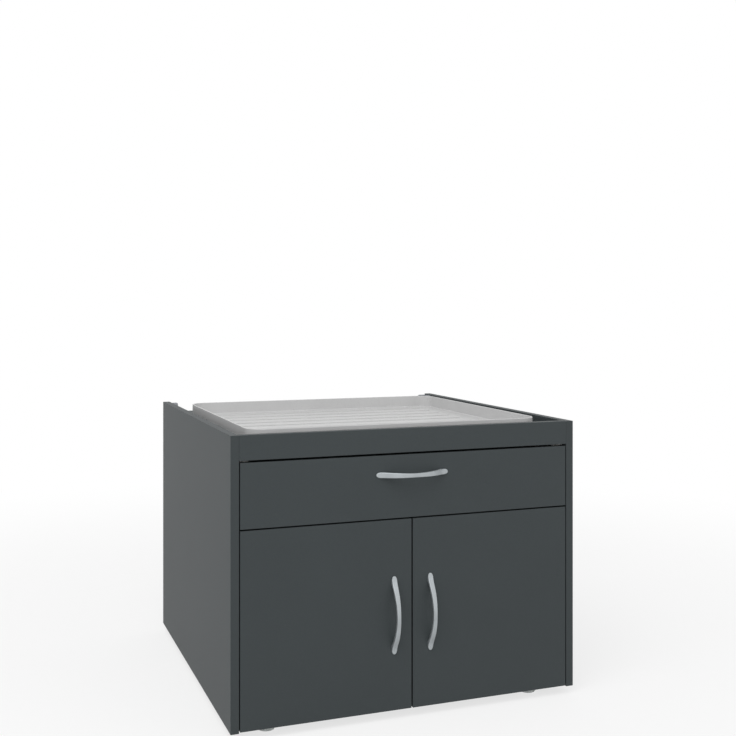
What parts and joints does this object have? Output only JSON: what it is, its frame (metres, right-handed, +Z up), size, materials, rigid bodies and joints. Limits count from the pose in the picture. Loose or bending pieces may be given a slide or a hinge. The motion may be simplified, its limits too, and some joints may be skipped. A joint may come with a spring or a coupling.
{
  "type": "washing machine base cabinet",
  "caption": "Square storage plinth that lifts a washing machine: side panels, a full-width drawer over a pair of inset doors, and a loose drip tray on top.",
  "frame": {"origin": "on the floor, under the middle of the box that the cabinet and its handles fill", "axes": "+Z up, fronts and handles face -Y, +X to the right seen from the front"},
  "size_m": [0.72, 0.748, 0.568],
  "materials": {
    "anthracite_board": "matt melamine-faced chipboard, fine satin grain",
    "white_board": "matt white melamine-faced chipboard",
    "grey_hardboard": "lacquered hardboard",
    "satin_metal": "satin nickel look",
    "zinc_steel": "bright zinc plating",
    "die_cast": "plain die-cast zinc",
    "dowel_wood": "plain beech",
    "foot_plastic": "matt",
    "coated_steel": "white powder coat",
    "nylon": "plain nylon",
    "nickel_steel": "nickel plating",
    "bumper_rubber": "clear soft pad",
    "tray_plastic": "fine matt grain"
  },
  "bodies": {
    "cabinet": {"bottom_panel": "anthracite_board", "mid_shelf": "anthracite_board", "centre_divider": "anthracite_board", "platform_board": "anthracite_board", "front_rail": "anthracite_board", "rear_rail": "anthracite_board", "back_panel": "grey_hardboard", "batten_screws": "zinc_steel", "cam_fittings_cabinet": "die_cast", "wooden_dowels": "dowel_wood", "panel_screws_cabinet": "zinc_steel", "side_panel_left": "anthracite_board", "side_panel_right": "anthracite_board", "platform_batten_left": "white_board", "platform_batten_right": "white_board", "foot_front_left": "foot_plastic", "foot_front_right": "foot_plastic", "foot_rear_left": "foot_plastic", "foot_rear_right": "foot_plastic", "runner_cabinet_left": "coated_steel", "runner_cabinet_right": "coated_steel", "wall_bracket_left": "zinc_steel", "wall_bracket_right": "zinc_steel", "hinge_plates_left": "nickel_steel", "hinge_plates_right": "nickel_steel", "hinge_arms_left": "nickel_steel", "hinge_arms_right": "nickel_steel"},
    "drawer": {"drawer_front": "anthracite_board", "drawer_back": "anthracite_board", "drawer_bottom": "grey_hardboard", "cam_fittings_drawer": "die_cast", "handle_drawer": "satin_metal", "handle_screws_drawer": "zinc_steel", "panel_screws_drawer": "zinc_steel", "drawer_side_left": "anthracite_board", "drawer_side_right": "anthracite_board", "runner_drawer_left": "coated_steel", "runner_drawer_right": "coated_steel"},
    "roller_front_left": {"roller_front_left": "nylon"},
    "roller_rear_left": {"roller_rear_left": "nylon"},
    "outer_links_left": {"hinge_outer_links_left": "nickel_steel"},
    "inner_links_left": {"hinge_inner_links_left": "nickel_steel"},
    "door_left": {"door_left": "anthracite_board", "handle_door_left": "satin_metal", "handle_screws_door_left": "zinc_steel", "panel_screws_door_left": "zinc_steel", "bumpers_door_left": "bumper_rubber", "hinge_cups_left": "nickel_steel"},
    "roller_front_right": {"roller_front_right": "nylon"},
    "roller_rear_right": {"roller_rear_right": "nylon"},
    "outer_links_right": {"hinge_outer_links_right": "nickel_steel"},
    "inner_links_right": {"hinge_inner_links_right": "nickel_steel"},
    "door_right": {"door_right": "anthracite_board", "handle_door_right": "satin_metal", "handle_screws_door_right": "zinc_steel", "panel_screws_door_right": "zinc_steel", "bumpers_door_right": "bumper_rubber", "hinge_cups_right": "nickel_steel"},
    "tray": {"drip_tray": "tray_plastic"}
  },
  "joints": [
    {"name": "drawer_slide", "type": "slide", "parent": "cabinet", "child": "drawer", "axis": [0, -1, 0], "range_m": [0, 0.41]},
    {"name": "roller_front_left_spin", "type": "hinge", "parent": "cabinet", "child": "roller_front_left", "pos_m": [-0.3381, -0.312, 0.41755], "axis": [1, 0, 0], "continuous": true},
    {"name": "roller_rear_left_spin", "type": "hinge", "parent": "drawer", "child": "roller_rear_left", "pos_m": [-0.3377, 0.204, 0.41425], "axis": [1, 0, 0], "continuous": true},
    {"name": "roller_front_right_spin", "type": "hinge", "parent": "cabinet", "child": "roller_front_right", "pos_m": [0.3381, -0.312, 0.41755], "axis": [1, 0, 0], "continuous": true},
    {"name": "roller_rear_right_spin", "type": "hinge", "parent": "drawer", "child": "roller_rear_right", "pos_m": [0.3377, 0.204, 0.41425], "axis": [1, 0, 0], "continuous": true},
    {"name": "outer_links_left_turn", "type": "hinge", "parent": "cabinet", "child": "outer_links_left", "pos_m": [-0.3081, -0.321, 0.202], "axis": [0, 0, 1], "range_deg": [0, 33.51]},
    {"name": "door_left_swing", "type": "hinge", "parent": "outer_links_left", "child": "door_left", "pos_m": [-0.3304, -0.3345, 0.202], "axis": [0, 0, 1], "range_deg": [-127.46, 0]},
    {"name": "inner_links_left_turn", "type": "hinge", "parent": "cabinet", "child": "inner_links_left", "pos_m": [-0.3084, -0.3379, 0.202], "axis": [0, 0, 1], "range_deg": [0, 40.47]},
    {"name": "outer_links_right_turn", "type": "hinge", "parent": "cabinet", "child": "outer_links_right", "pos_m": [0.3081, -0.321, 0.202], "axis": [0, 0, 1], "range_deg": [-33.51, 0]},
    {"name": "door_right_swing", "type": "hinge", "parent": "outer_links_right", "child": "door_right", "pos_m": [0.3304, -0.3345, 0.202], "axis": [0, 0, 1], "range_deg": [0, 127.46]},
    {"name": "inner_links_right_turn", "type": "hinge", "parent": "cabinet", "child": "inner_links_right", "pos_m": [0.3084, -0.3379, 0.202], "axis": [0, 0, 1], "range_deg": [-40.47, 0]},
    {"name": "tray_lift", "type": "slide", "parent": "cabinet", "child": "tray", "axis": [0, 0, 1], "range_m": [0, 0.1]}
  ],
  "couplings": [
    {"joint": "roller_front_left_spin", "follows": "drawer_slide", "rad_per_m": 76.923},
    {"joint": "roller_rear_left_spin", "follows": "drawer_slide", "rad_per_m": 71.429},
    {"joint": "roller_front_right_spin", "follows": "drawer_slide", "rad_per_m": 76.923},
    {"joint": "roller_rear_right_spin", "follows": "drawer_slide", "rad_per_m": 71.429},
    {"joint": "outer_links_left_turn", "follows": "door_left_swing", "ratio": -0.26254},
    {"joint": "inner_links_left_turn", "follows": "door_left_swing", "ratio": -0.31711},
    {"joint": "outer_links_right_turn", "follows": "door_right_swing", "ratio": -0.26254},
    {"joint": "inner_links_right_turn", "follows": "door_right_swing", "ratio": -0.31711}
  ]
}
